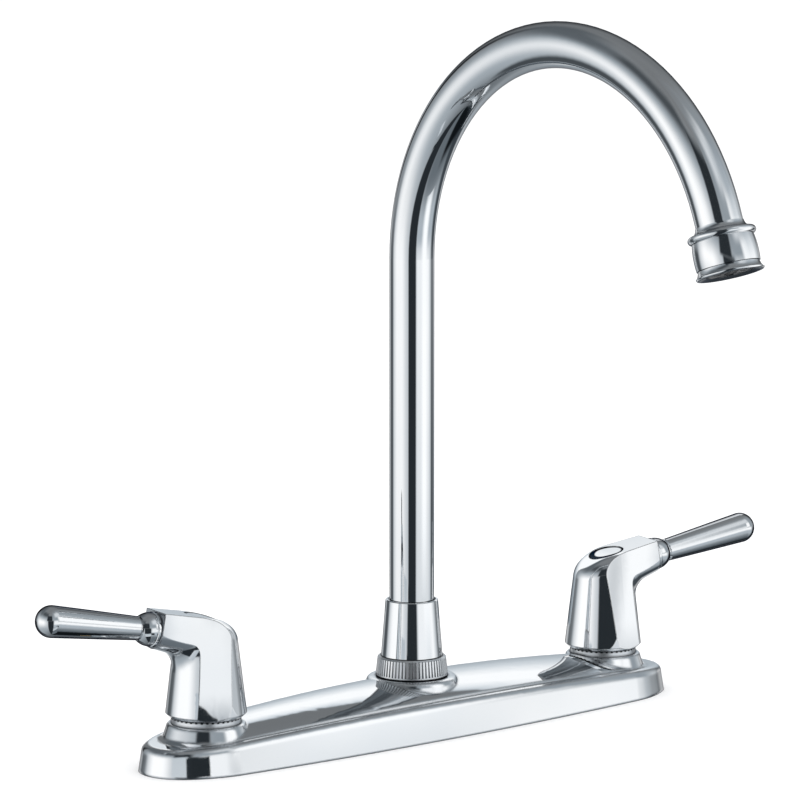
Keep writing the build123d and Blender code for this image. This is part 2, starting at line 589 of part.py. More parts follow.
def make_lever_collar():
    """Flange, narrow groove and a dome that runs down to the grip's neck."""
    bore = LEVER_TENON_R + SCREW_CLEARANCE
    flange = Polyline((bore, 0, 0), (COLLAR_R - COLLAR_EDGE, 0, 0), (COLLAR_R, 0, COLLAR_EDGE),
                      (COLLAR_R, 0, COLLAR_FLANGE), (COLLAR_R - COLLAR_GROOVE, 0, COLLAR_FLANGE + COLLAR_GROOVE / 2),
                      (COLLAR_DOME_R, 0, COLLAR_FLANGE + COLLAR_GROOVE))
    dome = TangentArc((COLLAR_DOME_R, 0, COLLAR_FLANGE + COLLAR_GROOVE), (NECK_R, 0, COLLAR_LENGTH), tangent=(0, 0, 1))
    rest = Polyline((NECK_R, 0, COLLAR_LENGTH), (bore, 0, COLLAR_LENGTH), (bore, 0, 0))
    return lever_place() * revolve(make_face([flange, dome, rest]), Axis.Z, 360)


def make_lever_grip():
    """Tapered grip with a round tip, its tenon goes through the collar into the arm."""
    base = COLLAR_LENGTH
    tip = base + NECK_LENGTH + GRIP_LENGTH
    neck = Polyline((0, 0, -LEVER_TENON_LENGTH), (LEVER_TENON_R, 0, -LEVER_TENON_LENGTH),
                    (LEVER_TENON_R, 0, base), (NECK_R - 0.5, 0, base), (NECK_R - 0.5, 0, base + NECK_LENGTH / 2),
                    (NECK_R, 0, base + NECK_LENGTH))
    flank = ThreePointArc((NECK_R, 0, base + NECK_LENGTH), (GRIP_MID_R, 0, (base + NECK_LENGTH + tip) / 2),
                          (GRIP_TIP_R, 0, tip))
    nose = ThreePointArc((GRIP_TIP_R, 0, tip), (GRIP_TIP_R * sqrt(0.5), 0, tip + GRIP_TIP_R * sqrt(0.5)),
                         (0, 0, tip + GRIP_TIP_R))
    axis = Line((0, 0, tip + GRIP_TIP_R), (0, 0, -LEVER_TENON_LENGTH))
    return lever_place() * revolve(make_face([neck, flank, nose, axis]), Axis.Z, 360)


# ---- pieces of the spout ------------------------------------------------------------------
def make_spout_post():
    low = GASKET_THICKNESS
    flange_top = low + POST_FLANGE_THICKNESS
    bore_r = TAIL_R + TAIL_RUNNING_FIT
    post = turned([(0, low), (POST_FLANGE_R, low), (POST_FLANGE_R, flange_top), (POST_R, flange_top),
                   (POST_R, POST_TOP), (bore_r, POST_TOP), (bore_r, flange_top), (0, flange_top)])
    through = Pos(0, 0, WATERWAY_Z) * Rot(0, 90, 0)
    post -= through * Cylinder(WATERWAY_R - WATERWAY_WALL, 3 * POST_R)
    socket = Cylinder(WATERWAY_R + SOLDER_FIT, 3 * POST_R)
    middle = Cylinder(WATERWAY_R + 1, 2 * (POST_R - WATERWAY_SOCKET))
    return post - through * (socket - middle)


def make_spout_nut():
    """Nut with fine upright serrations above a smooth rim."""
    thread_r = POST_R + THREAD_CLEARANCE
    cavity_r = POST_R - 0.35
    opening_r = TAIL_NECK_R + NUT_OPENING_CLEARANCE
    lip = NUT_TOP - NUT_LIP
    nut = turned([(thread_r, NUT_BOTTOM), (NUT_R_BOTTOM - 0.5, NUT_BOTTOM), (NUT_R_BOTTOM, NUT_BOTTOM + 0.5),
                  (NUT_R_BOTTOM, NUT_BOTTOM + NUT_RIM), (NUT_R_TOP, NUT_TOP - 0.6), (NUT_R_TOP - 0.6, NUT_TOP),
                  (opening_r, NUT_TOP), (opening_r, lip), (cavity_r, lip), (cavity_r, POST_TOP),
                  (thread_r, POST_TOP)])
    lean = degrees(atan((NUT_R_BOTTOM - NUT_R_TOP) / (NUT_TOP - NUT_BOTTOM)))
    height = NUT_TOP - NUT_BOTTOM - NUT_RIM
    side = NUT_TOOTH_DEPTH * sqrt(2)
    middle = NUT_BOTTOM + NUT_RIM + height / 2
    radius = (NUT_R_BOTTOM + NUT_R_TOP) / 2
    cut = Pos(radius, 0, middle + 1) * Rot(0, -lean, 0) * Rot(0, 0, 45) * Box(side, side, height + 2)
    return nut - [Rot(0, 0, 360 / NUT_TEETH * i) * cut for i in range(NUT_TEETH)]


def make_thrust_washer():
    return ring(TAIL_NECK_R + NUT_OPENING_CLEARANCE, POST_R - 0.45, THRUST_WASHER_Z,
                THRUST_WASHER_Z + WASHER_RING_THICKNESS)


def tail_ring_heights():
    return [TAIL_RING_LOW_Z, TAIL_RING_LOW_Z + TAIL_RING_PITCH]


def make_spout_tail():
    """Turned brass end that swivels in the post, with two ring grooves and a captive flange."""
    flange_top = TAIL_FLANGE_Z + TAIL_FLANGE_THICKNESS
    socket_r = TUBE_R + SOLDER_FIT
    tail = turned([(TAIL_BORE_R, TAIL_BOTTOM), (TAIL_R, TAIL_BOTTOM), (TAIL_R, TAIL_FLANGE_Z),
                   (TAIL_FLANGE_R, TAIL_FLANGE_Z), (TAIL_FLANGE_R, flange_top), (TAIL_NECK_R, flange_top),
                   (TAIL_NECK_R, TAIL_NECK_TOP), (socket_r, TAIL_NECK_TOP), (socket_r, TAIL_SOCKET_BOTTOM),
                   (TAIL_BORE_R, TAIL_SOCKET_BOTTOM)])
    for low in tail_ring_heights():
        tail -= ring(TAIL_R - TAIL_RING_DEPTH, TAIL_R + 1, low, low + TAIL_RING_HEIGHT)
    return tail


def make_spout_rings():
    outer = TAIL_R + TAIL_RUNNING_FIT - RING_FIT
    rings = [ring(TAIL_R - TAIL_RING_DEPTH, outer, low, low + TAIL_RING_HEIGHT) for low in tail_ring_heights()]
    return Compound(children=rings)


def make_spout_sleeve():
    """Cone that covers the joint, gripping the tube at its top."""
    inner_low = SLEEVE_R_BOTTOM - SLEEVE_WALL
    inner_high = SLEEVE_R_TOP - SLEEVE_WALL + 0.1
    grip_r = TUBE_R + SLEEVE_FIT
    grip_low = SLEEVE_TOP - SLEEVE_GRIP
    recess = SLEEVE_TOP - SLEEVE_LIP
    return turned([(inner_low, SLEEVE_BOTTOM), (SLEEVE_R_BOTTOM, SLEEVE_BOTTOM), (SLEEVE_R_TOP, SLEEVE_TOP - SLEEVE_EDGE),
                   (SLEEVE_R_TOP - SLEEVE_EDGE, SLEEVE_TOP), (SLEEVE_LIP_R, SLEEVE_TOP), (SLEEVE_LIP_R, recess),
                   (grip_r, recess), (grip_r, grip_low), (inner_high, grip_low)])


def tube_end():
    """Centre of the tube's lower end and the direction in which it points."""
    sweep = radians(TUBE_SWEEP)
    ahead = Vector(0, -sin(sweep), cos(sweep))
    bend_end = Vector(0, -TUBE_BEND_R * (1 - cos(sweep)), TUBE_STRAIGHT_TOP + TUBE_BEND_R * sin(sweep))
    return bend_end + ahead * TUBE_TAIL, ahead


def make_spout_tube():
    """Gooseneck: straight rise, one round bend, short straight tail."""
    end, ahead = tube_end()
    rise = Line((0, 0, TAIL_SOCKET_BOTTOM), (0, 0, TUBE_STRAIGHT_TOP))
    bend = TangentArc((0, 0, TUBE_STRAIGHT_TOP), end - ahead * TUBE_TAIL, tangent=(0, 0, 1))
    tail = Line(end - ahead * TUBE_TAIL, end)
    foot = Pos(0, 0, TAIL_SOCKET_BOTTOM)
    section = foot * (Circle(TUBE_R) - Circle(TUBE_R - TUBE_WALL))
    return sweep(section, path=Wire([rise, bend, tail]))


def outlet_place():
    """Middle of the bead: local Z points the way the water leaves."""
    end, ahead = tube_end()
    return Plane(origin=end - ahead * OUTLET_TUBE_DEPTH, x_dir=(1, 0, 0), z_dir=ahead)


def make_outlet_collar():
    """Barrel on the tube's end, with a rolled bead on top and a thread inside."""
    fit_r = TUBE_R + SOLDER_FIT
    half = OUTLET_BEAD_HALF
    barrel_r = OUTLET_BARREL_R
    flare = ThreePointArc((fit_r + OUTLET_EDGE, 0, -half - OUTLET_FLARE),
                          ((fit_r + OUTLET_FLARE_R) / 2 - OUTLET_EDGE, 0, -half - OUTLET_FLARE * 0.35),
                          (OUTLET_FLARE_R, 0, -half))
    bead = ThreePointArc((OUTLET_FLARE_R, 0, -half), (OUTLET_BEAD_R, 0, 0), (barrel_r, 0, half))
    belly = ThreePointArc((barrel_r, 0, half), (OUTLET_BELLY_R, 0, OUTLET_LENGTH * 0.62), (OUTLET_FOOT_R, 0, OUTLET_LENGTH))
    depth = OUTLET_TUBE_DEPTH
    rest = Polyline((OUTLET_FOOT_R, 0, OUTLET_LENGTH), (OUTLET_THREAD_R, 0, OUTLET_LENGTH),
                    (OUTLET_THREAD_R, 0, OUTLET_SHOULDER), (TUBE_R - TUBE_WALL, 0, OUTLET_SHOULDER),
                    (TUBE_R - TUBE_WALL, 0, depth), (fit_r, 0, depth), (fit_r, 0, -half - OUTLET_FLARE),
                    (fit_r + OUTLET_EDGE, 0, -half - OUTLET_FLARE))
    return outlet_place() * revolve(make_face([flare, bead, belly, rest]), Axis.Z, 360)


def make_aerator_washer():
    low = OUTLET_SHOULDER
    washer = ring(AERATOR_WASHER_INNER_R, OUTLET_THREAD_R - 0.1, low, low + AERATOR_WASHER_THICKNESS)
    return outlet_place() * washer


def make_aerator_shell():
    """Threaded sleeve with the flared ring that shows below the barrel."""
    skirt_r = OUTLET_THREAD_R - THREAD_CLEARANCE
    low = OUTLET_LENGTH + AERATOR_GAP
    high = low + AERATOR_RING_LENGTH
    skirt_top = OUTLET_SHOULDER + AERATOR_WASHER_THICKNESS
    lip = high - AERATOR_RING_LIP
    flare = TangentArc((AERATOR_NECK_R, 0, low), (AERATOR_RING_R, 0, lip), tangent=(0.12, 0, 1))
    rim = ThreePointArc((AERATOR_RING_R, 0, lip), (AERATOR_RING_R - 0.2, 0, high - 0.15),
                        (AERATOR_RING_R - 0.6, 0, high))
    rest = Polyline((AERATOR_RING_R - 0.6, 0, high), (AERATOR_MOUTH_R, 0, high), (AERATOR_BORE_R, 0, high - 0.8),
                    (AERATOR_BORE_R, 0, skirt_top), (skirt_r, 0, skirt_top), (skirt_r, 0, low),
                    (AERATOR_NECK_R, 0, low))
    return outlet_place() * revolve(make_face([flare, rim, rest]), Axis.Z, 360)


def make_aerator_insert():
    """Plastic cup with a waist of openings that mixes in the air."""
    outer = AERATOR_BORE_R - 0.1
    low = OUTLET_SHOULDER + AERATOR_WASHER_THICKNESS
    high = low + INSERT_DEPTH
    cup = turned([(0, low), (outer, low), (outer, high), (outer - INSERT_WALL, high),
                  (outer - INSERT_WALL, low + INSERT_LIP), (0, low + INSERT_LIP)])
    for i in range(8):
        cup -= Rot(0, 0, 45 * i) * Pos(outer * 0.62, 0, 0) * rod(SCREEN_HOLE_R, low - 1, low + INSERT_LIP + 1)
    return outlet_place() * cup


def make_aerator_screen():
    """Holed disc just inside the mouth."""
    high = OUTLET_LENGTH + AERATOR_GAP + AERATOR_RING_LENGTH - SCREEN_RECESS
    disc = rod(AERATOR_BORE_R - 0.05, high - SCREEN_THICKNESS, high)
    hole = rod(SCREEN_HOLE_R, high - SCREEN_THICKNESS - 1, high + 1)
    holes = [hole]
    for row in range(1, SCREEN_ROWS + 1):
        for i in range(6 * row):
            holes.append(Rot(0, 0, 60 / row * i) * Pos(SCREEN_PITCH * row, 0, 0) * hole)
    return outlet_place() * (disc - holes)


# ---- build --------------------------------------------------------------------------------
def main():
    os.makedirs("parts", exist_ok=True)
    save(make_deck_plate(), "deck_plate")
    save(make_deck_gasket(), "deck_gasket")
    save(make_mounting_washers(), "mounting_washers")
    save(make_mounting_nuts(), "mounting_nuts")

    sides = (("left", -1, 180 + LEFT_HANDLE_TURN), ("right", 1, RIGHT_HANDLE_TURN))
    for name, side, heading in sides:
        valve = Pos(side * VALVE_X, 0, 0)
        turn = valve * Rot(0, 0, heading)
        save(valve * make_valve_body(side), f"{name}_valve_body")
        save(make_waterway_tube(side), f"{name}_waterway_tube")
        save(valve * make_seat_seal(), f"{name}_seat_seal")
        save(valve * make_cartridge(), f"{name}_cartridge")
        save(valve * make_disc(DISC_LOW_Z), f"{name}_fixed_disc")
        save(valve * make_bonnet_nut(), f"{name}_bonnet_nut")
        save(turn * make_disc(DISC_HIGH_Z), f"{name}_moving_disc")
        save(turn * make_stem(), f"{name}_stem")
        save(turn * make_stem_ring(), f"{name}_stem_o_ring")
        save(turn * make_handle_body(), f"{name}_handle_body")
        save(turn * make_handle_screw(), f"{name}_handle_screw")
        save(turn * make_index_cap(), f"{name}_index_cap")
        save(turn * make_lever_collar(), f"{name}_lever_collar")
        save(turn * make_lever_grip(), f"{name}_lever_grip")

    save(make_spout_post(), "spout_post")
    save(make_spout_nut(), "spout_nut")
    save(make_thrust_washer(), "spout_thrust_washer")
    save(make_spout_tail(), "spout_tail")
    save(make_spout_rings(), "spout_o_rings")
    save(make_spout_sleeve(), "spout_sleeve")
    save(make_spout_tube(), "spout_tube")
    save(make_outlet_collar(), "outlet_collar")
    save(make_aerator_washer(), "aerator_washer")
    save(make_aerator_shell(), "aerator_shell")
    save(make_aerator_insert(), "aerator_insert")
    save(make_aerator_screen(), "aerator_screen")


main()
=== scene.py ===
import math

import bpy
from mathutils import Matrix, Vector


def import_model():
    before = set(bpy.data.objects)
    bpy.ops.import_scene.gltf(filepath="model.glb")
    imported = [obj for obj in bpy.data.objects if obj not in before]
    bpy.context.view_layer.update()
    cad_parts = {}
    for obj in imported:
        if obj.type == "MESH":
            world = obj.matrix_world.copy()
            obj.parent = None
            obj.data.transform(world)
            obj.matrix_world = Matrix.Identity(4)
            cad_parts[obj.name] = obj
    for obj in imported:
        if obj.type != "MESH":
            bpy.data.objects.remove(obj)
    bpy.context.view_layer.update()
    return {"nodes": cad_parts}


# ---- camera of the photograph, in the row frame ---------------------------------------------
CAMERA_PLACE = (-1.127418, -1.317947, 0.386051)
CAMERA_YAW = 0.705
CAMERA_PITCH = 0.147
CAMERA_FOCAL_PX = 4538.234
CAMERA_REACH = 100.0
FRAME_PX = 800
SENSOR_MM = 36.0

# ---- sizes of the faucet that its finishes go by --------------------------------------------
VALVE_FROM_SPOUT = 0.1016
CAP_RIM_HEIGHT = 0.004                      # what lies this near a cap's top gives its outline
OUTLET_WAY = (0.0, -0.3206, -0.9472)        # the way the water leaves the aerator

# ---- light levels ---------------------------------------------------------------------------
MIRRORED_STRENGTH = 1.14        # of the panels and cards that glossy skins mirror
EVEN_STRENGTH = 1.08            # of the even white light that all other rays meet
LAMP_ENERGY = 14
LAMP_SIZE = 2.4
LAMP_PLACE = (0, -0.2, 2.2)
FLOOR_REACH = 12.0
FLOOR_COLOUR = (0.97, 0.97, 0.975)
FLOOR_ROUGHNESS = 0.9

# ---- polished plating -----------------------------------------------------------------------
PLATING_TONES = ((0.862, 0.880, 0.898), (0.885, 0.897, 0.908))
PLATING_ROUGHNESS = (0.028, 0.062)
# colour and reflection tint that painted shade darkens the plating to
PAINTED_SHADE_TONE = (0.030, 0.038, 0.050)
CLEAR_TINT = (1.0, 1.0, 1.0)
PAINTED_SHADE_TINT = (0.10, 0.11, 0.13)
RIM_RUN = 0.24                  # of the facing value, over which a rim darkens with painted shade
LEVEL_SKIN = (0.55, 0.85)       # upright part of the normal over which a rim's painted shade goes out
NOOK_REACH = 0.0012             # how far off a neighbour still closes a nook in, for its painted shade
NOOK_RUN = 0.6                  # share of open sky over which a nook darkens with painted shade
NOOK_BLUR = 0.35                # roughness that the bottom of a nook adds
EDGE_TURN = (0.93, 0.985)       # cosine between skin and eased normal, from darkest to undarkened, for the painted dark edge lines
CAP_RING = (0.70, 0.78)         # share of the way out to a cap's rim over which its ring of painted groove shade darkens
# how dark the painted groove shade on a cap's ring gets
CAP_RING_DARKNESS = 0.92
LIP_TURN = (0.75, 0.95)         # cosine of the turn from the outlet's way to the lip's skin, over which the lip gets painted shade
# how dark the painted shade on the lip gets
LIP_DARKNESS = 0.85

# ---- turned skins ---------------------------------------------------------------------------
RING_WOBBLE = 0.0004            # how far the tool rings stray from true
RING_WOBBLE_SCALE = 160.0


# ---- small helpers for shader graphs --------------------------------------------------------
def feed(tree, socket, value):
    """Gives a socket its value: an output to link, an (r, g, b) or a number."""
    if isinstance(value, bpy.types.NodeSocket):
        tree.links.new(value, socket)
    elif isinstance(value, tuple):
        socket.default_value = (*value, 1.0)
    else:
        socket.default_value = value


def math_node(tree, operation, *values):
    """Adds a Math node and returns its output; each value is an output or a number."""
    node = tree.nodes.new("ShaderNodeMath")
    node.operation = operation
    for socket, value in zip(node.inputs, values):
        feed(tree, socket, value)
    return node.outputs[0]


def mix_colour(tree, factor, under, over):
    """Mixes two colours, each an output or an (r, g, b), by a factor that is an output."""
    node = tree.nodes.new("ShaderNodeMix")
    node.data_type = "RGBA"
    for key, value in (("Factor", factor), (6, under), (7, over)):
        feed(tree, node.inputs[key], value)
    return node.outputs[2]


def spread(tree, value, low, high, from_low=0.3, from_high=0.7):
    """Maps a value from one range onto another and holds it within it."""
    node = tree.nodes.new("ShaderNodeMapRange")
    tree.links.new(value, node.inputs["Value"])
    limits = {"From Min": from_low, "From Max": from_high, "To Min": low, "To Max": high}
    for key, number in limits.items():
        node.inputs[key].default_value = number
    return node.outputs["Result"]


def smooth_step(tree, value, low, high):
    """Goes softly from 0 at low to 1 at high; each limit is an output or a number."""
    node = tree.nodes.new("ShaderNodeMapRange")
    node.interpolation_type = "SMOOTHSTEP"
    for key, source in (("Value", value), ("From Min", low), ("From Max", high)):
        feed(tree, node.inputs[key], source)
    return node.outputs["Result"]


def split_vector(tree, vector):
    node = tree.nodes.new("ShaderNodeSeparateXYZ")
    tree.links.new(vector, node.inputs[0])
    return node.outputs


def dot_product(tree, first, second):
    """Dot product of an output with another output or with a fixed direction."""
    node = tree.nodes.new("ShaderNodeVectorMath")
    node.operation = "DOT_PRODUCT"
    tree.links.new(first, node.inputs[0])
    if isinstance(second, bpy.types.NodeSocket):
        tree.links.new(second, node.inputs[1])
    else:
        node.inputs[1].default_value = second
    return node.outputs["Value"]


def skin_normal(tree):
    return tree.nodes.new("ShaderNodeNewGeometry").outputs["Normal"]


def noise(tree, place, scale, detail=2.0, rough=0.5):
    node = tree.nodes.new("ShaderNodeTexNoise")
    node.inputs["Scale"].default_value = scale
    node.inputs["Detail"].default_value = detail
    node.inputs["Roughness"].default_value = rough
    tree.links.new(place, node.inputs["Vector"])
    return node.outputs[0]


def in_degrees(tree, angle):
    return math_node(tree, "MULTIPLY", angle, 180 / math.pi)


def azimuth_of(tree, parts):
    """Degrees round the upright axis, from +Y towards +X."""
    return in_degrees(tree, math_node(tree, "ARCTAN2", parts["X"], parts["Y"]))


def tone(level, blue=0.0):
    """Linear colour of an sRGB level 0..255, cooled by blue levels."""
    def linear(v):
        v = max(v, 0.0) / 255
        return v / 12.92 if v <= 0.04045 else ((v + 0.055) / 1.055) ** 2.4
    return linear(level - blue), linear(level), linear(level + blue * 0.8)


def tone_ramp(tree, share, stops):
    """Colour over a share 0..1, from (share, level, blue) stops."""
    ramp = tree.nodes.new("ShaderNodeValToRGB")
    tree.links.new(share, ramp.inputs["Fac"])
    elements = ramp.color_ramp.elements
    while len(elements) < len(stops):
        elements.new(0.5)
    for element, (position, level, blue) in zip(elements, stops):
        element.position = position
        element.color = (*tone(level, blue), 1)
    return ramp.outputs["Color"]


# ---- studio ---------------------------------------------------------------------------------
# tones of the surround from straight down to straight up
SURROUND_STOPS = ((0.0, 92, 4), (0.17, 120, 6), (0.33, 176, 6), (0.48, 214, 4), (0.53, 196, 5),
                  (0.66, 150, 7), (0.83, 122, 3), (1.0, 116, 3))

# soft panels in the surround; a later one lies over the earlier. Azimuth runs from +Y (behind the
# faucet) towards +X (its right); the user is at 180 and the camera near -140. Each row has the panel's
# numbers for PANEL_SOCKETS, in degrees, and then its level, blue and strength.
PANEL_SOCKETS = ("Middle", "Half Width", "Side Softness",
                 "Low Edge", "High Edge", "Low Softness", "High Softness")
STUDIO_PANELS = (
    # grey walls behind and in front on the right, and a pale one on the left with a white box in it
    (20, 62, 14, -2, 62, 4, 14, 112, 3, 1.0),
    (152, 50, 16, -4, 60, 10, 40, 150, 8, 1.0),
    (-65, 52, 30, -62, 46, 42, 36, 168, 8, 1.0),
    (-72, 34, 22, -20, 16, 22, 16, 255, 0, 1.0),
    # dark gaps high up, behind and on the left
    (-18, 34, 12, 30, 62, 12, 12, 88, 6, 0.9),
    (-84, 34, 12, 38, 66, 12, 12, 62, 5, 0.9),
    # white boxes low down: behind on the right, in front on the right, and on the user's side
    (44, 36, 5, -34, 3, 10, 3, 255, 0, 1.0),
    (154, 34, 12, -14, 3, 9, 4, 250, 1, 1.0),
    (180, 15, 6, -14, 14, 9, 8, 240, 2, 1.0),
    # grey under those in front, a darker floor, and two dark gaps on the right, one near straight down
    (150, 54, 14, -30, -12, 14, 7, 176, 9, 1.0),
    (140, 60, 16, -95, -36, 4, 14, 104, 8, 0.9),
    (92, 15, 8, -80, -3, 8, 8, 58, 7, 0.96),
    (114, 30, 10, -88, -52, 2, 6, 20, 4, 1.0),
    # pale box high up in front, a dark gap low down behind, and a narrow dark strip behind
    (156, 26, 14, 36, 62, 8, 10, 214, 4, 0.9),
    (-14, 14, 8, -66, -2, 8, 6, 64, 5, 0.95),
    (4, 6, 3, -2, 30, 4, 14, 22, 3, 0.95),
    # white box at half height in front on the right
    (146, 15, 8, 6, 34, 6, 8, 250, 1, 1.0),
    # dark gap round the camera, its low and its high part
    (-141, 19.5, 3.5, -95, 16, 3, 5, 42, 5, 1.0),
    (-133, 20, 4, 14, 50, 4, 8, 44, 5, 1.0),
)

# straight cards near the object: middle, half of the run, height, and (height, level, blue) stops up it
STRAIGHT_CARDS = (
    ("white board behind", (0.174, 0.180), (0.122, -0.118), 0.305,
     ((0.0, 160, 9), (0.060, 188, 8), (0.100, 212, 6), (0.135, 234, 3), (0.170, 250, 1),
      (0.225, 250, 1), (0.262, 232, 4), (0.288, 208, 7), (0.305, 110, 5))),
    ("pale card by the plate's end", (-0.16795, -0.0513), (0.01475, -0.0183), 0.030,
     ((0.0, 205, 6), (0.030, 185, 8))),
    ("black card before the plate's end", (-0.1440, -0.1000), (0.0190, 0.0), 0.024,
     ((0.0, 40, 5), (0.024, 40, 5))),
)

# card bent round the spout's axis, from and to an azimuth; it fades at both ends and towards its top
BENT_CARD_RADIUS = 0.28
BENT_CARD_FIRST = 130.0
BENT_CARD_LAST = 178.0
BENT_CARD_TOP = 0.47
BENT_CARD_END_FADE = 20.0       # degrees over which each end fades
BENT_CARD_TOP_FADE = 0.30       # height from which it fades
BENT_CARD_FACETS = 24
BENT_CARD_STOPS = ((0.0, 222, 4), (0.030, 248, 2), (0.060, 254, 1), (0.215, 252, 1), (0.265, 215, 5),
                   (0.300, 175, 8), (0.400, 150, 8), (0.470, 130, 7))


def soft_panel_group():
    """Mask of a light panel given by its middle, half width, edges and softness, all in degrees."""
    group = bpy.data.node_groups.new("studio panel mask", "ShaderNodeTree")
    for name in ("Azimuth", "Elevation", *PANEL_SOCKETS):
        group.interface.new_socket(name, in_out="INPUT", socket_type="NodeSocketFloat")
    group.interface.new_socket("Mask", in_out="OUTPUT", socket_type="NodeSocketFloat")
    source = group.nodes.new("NodeGroupInput").outputs
    out = group.nodes.new("NodeGroupOutput")

    def past(value, limit, softness):
        low = math_node(group, "SUBTRACT", limit, softness)
        high = math_node(group, "ADD", limit, softness)
        return smooth_step(group, value, low, high)

    turned = math_node(group, "SUBTRACT", source["Azimuth"], source["Middle"])
    aside = math_node(group, "ABSOLUTE", math_node(group, "WRAP", turned, 180.0, -180.0))
    inside = math_node(group, "SUBTRACT", 1.0, past(aside, source["Half Width"], source["Side Softness"]))
    over_low = past(source["Elevation"], source["Low Edge"], source["Low Softness"])
    over_high = past(source["Elevation"], source["High Edge"], source["High Softness"])
    under_high = math_node(group, "SUBTRACT", 1.0, over_high)
    mask = math_node(group, "MULTIPLY", math_node(group, "MULTIPLY", inside, over_low), under_high)
    group.links.new(mask, out.inputs["Mask"])
    return group


def background(tree, colour, strength):
    node = tree.nodes.new("ShaderNodeBackground")
    node.inputs["Strength"].default_value = strength
    feed(tree, node.inputs["Color"], colour)
    return node.outputs[0]


def build_studio_world():
    """Soft boxes and dark gaps all round the object, as its polished plating mirrors them."""
    world = bpy.data.worlds.new("studio surround")
    bpy.context.scene.world = world
    world.use_nodes = True
    tree = world.node_tree
    tree.nodes.clear()
    parts = split_vector(tree, tree.nodes.new("ShaderNodeTexCoord").outputs["Generated"])
    azimuth = azimuth_of(tree, parts)
    elevation = in_degrees(tree, math_node(tree, "ARCSINE", parts["Z"]))
    height = spread(tree, elevation, 0.0, 1.0, from_low=-90, from_high=90)
    colour = tone_ramp(tree, height, SURROUND_STOPS)
    mask_group = soft_panel_group()
    for *shape, level, blue, strength in STUDIO_PANELS:
        node = tree.nodes.new("ShaderNodeGroup")
        node.node_tree = mask_group
        tree.links.new(azimuth, node.inputs["Azimuth"])
        tree.links.new(elevation, node.inputs["Elevation"])
        for name, value in zip(PANEL_SOCKETS, shape):
            node.inputs[name].default_value = value
        factor = math_node(tree, "MULTIPLY", node.outputs["Mask"], strength)
        colour = mix_colour(tree, factor, colour, tone(level, blue))
    rays = tree.nodes.new("ShaderNodeLightPath")
    chosen = tree.nodes.new("ShaderNodeMixShader")
    tree.links.new(rays.outputs["Is Glossy Ray"], chosen.inputs["Fac"])
    tree.links.new(background(tree, (1.0, 1.0, 1.0), EVEN_STRENGTH), chosen.inputs[1])
    tree.links.new(background(tree, colour, MIRRORED_STRENGTH), chosen.inputs[2])
    out = tree.nodes.new("ShaderNodeOutputWorld")
    tree.links.new(chosen.outputs[0], out.inputs["Surface"])


def build_floor():
    """Pale floor that the plate stands on; the plating mirrors the studio and not this sheet."""
    mesh = bpy.data.meshes.new("studio floor")
    corners = [(x * FLOOR_REACH, y * FLOOR_REACH, 0) for x, y in ((-1, -1), (1, -1), (1, 1), (-1, 1))]
    mesh.from_pydata(corners, [], [(0, 1, 2, 3)])
    floor = bpy.data.objects.new("studio floor", mesh)
    bpy.context.scene.collection.objects.link(floor)
    material = bpy.data.materials.new("pale floor sheet")
    material.use_nodes = True
    shader = material.node_tree.nodes["Principled BSDF"]
    shader.inputs["Base Color"].default_value = (*FLOOR_COLOUR, 1)
    shader.inputs["Roughness"].default_value = FLOOR_ROUGHNESS
    shader.inputs["Specular IOR Level"].default_value = 0.0
    mesh.materials.append(material)
    floor.visible_glossy = False


def build_lights():
    """One large soft lamp overhead, for the floor; it is not mirrored as a shape."""
    data = bpy.data.lights.new("overhead soft lamp", "AREA")
    data.energy = LAMP_ENERGY
    data.shape = "DISK"
    data.size = LAMP_SIZE
    lamp = bpy.data.objects.new("overhead soft lamp", data)
    lamp.location = LAMP_PLACE
    bpy.context.scene.collection.objects.link(lamp)
    lamp.visible_glossy = False
    lamp.visible_camera = False


def bent_card_mask(tree, parts):
    """Whole in the middle of the bent card, and fading at both ends and towards its top."""
    azimuth = math_node(tree, "WRAP", azimuth_of(tree, parts), 360.0, 0.0)
    from_first = smooth_step(tree, azimuth, BENT_CARD_FIRST, BENT_CARD_FIRST + BENT_CARD_END_FADE)
    from_last = smooth_step(tree, azimuth, BENT_CARD_LAST, BENT_CARD_LAST - BENT_CARD_END_FADE)
    from_top = smooth_step(tree, parts["Z"], BENT_CARD_TOP, BENT_CARD_TOP_FADE)
    return math_node(tree, "MULTIPLY", math_node(tree, "MULTIPLY", from_first, from_last), from_top)


def card_surface(name, top, stops, mask_of=None):
    """Glowing sheet whose tone changes up its height; mask_of makes the mask that it fades out by."""
    material = bpy.data.materials.new(name)
    material.use_nodes = True
    tree = material.node_tree
    tree.nodes.clear()
    parts = split_vector(tree, tree.nodes.new("ShaderNodeTexCoord").outputs["Object"])
    share = math_node(tree, "DIVIDE", parts["Z"], top)
    colour = tone_ramp(tree, share, [(height / top, level, blue) for height, level, blue in stops])
    glow = tree.nodes.new("ShaderNodeEmission")
    glow.inputs["Strength"].default_value = MIRRORED_STRENGTH
    tree.links.new(colour, glow.inputs["Color"])
    shown = glow.outputs[0]
    if mask_of:
        clear = tree.nodes.new("ShaderNodeBsdfTransparent")
        both = tree.nodes.new("ShaderNodeMixShader")
        tree.links.new(mask_of(tree, parts), both.inputs["Fac"])
        tree.links.new(clear.outputs[0], both.inputs[1])
        tree.links.new(shown, both.inputs[2])
        shown = both.outputs[0]
    out = tree.nodes.new("ShaderNodeOutputMaterial")
    tree.links.new(shown, out.inputs["Surface"])
    return material


def place_card(name, line, top, stops, mask_of=None):
    """Upright sheet over a line of floor points; only the polished skin sees it."""
    mesh = bpy.data.meshes.new(name)
    points = [(x, y, z) for x, y in line for z in (0.0, top)]
    faces = [(2 * i, 2 * i + 2, 2 * i + 3, 2 * i + 1) for i in range(len(line) - 1)]
    mesh.from_pydata(points, [], faces)
    mesh.materials.append(card_surface(name, top, stops, mask_of))
    card = bpy.data.objects.new(name, mesh)
    bpy.context.scene.collection.objects.link(card)
    card.visible_camera = False
    card.visible_diffuse = False
    card.visible_shadow = False
    card.visible_transmission = False


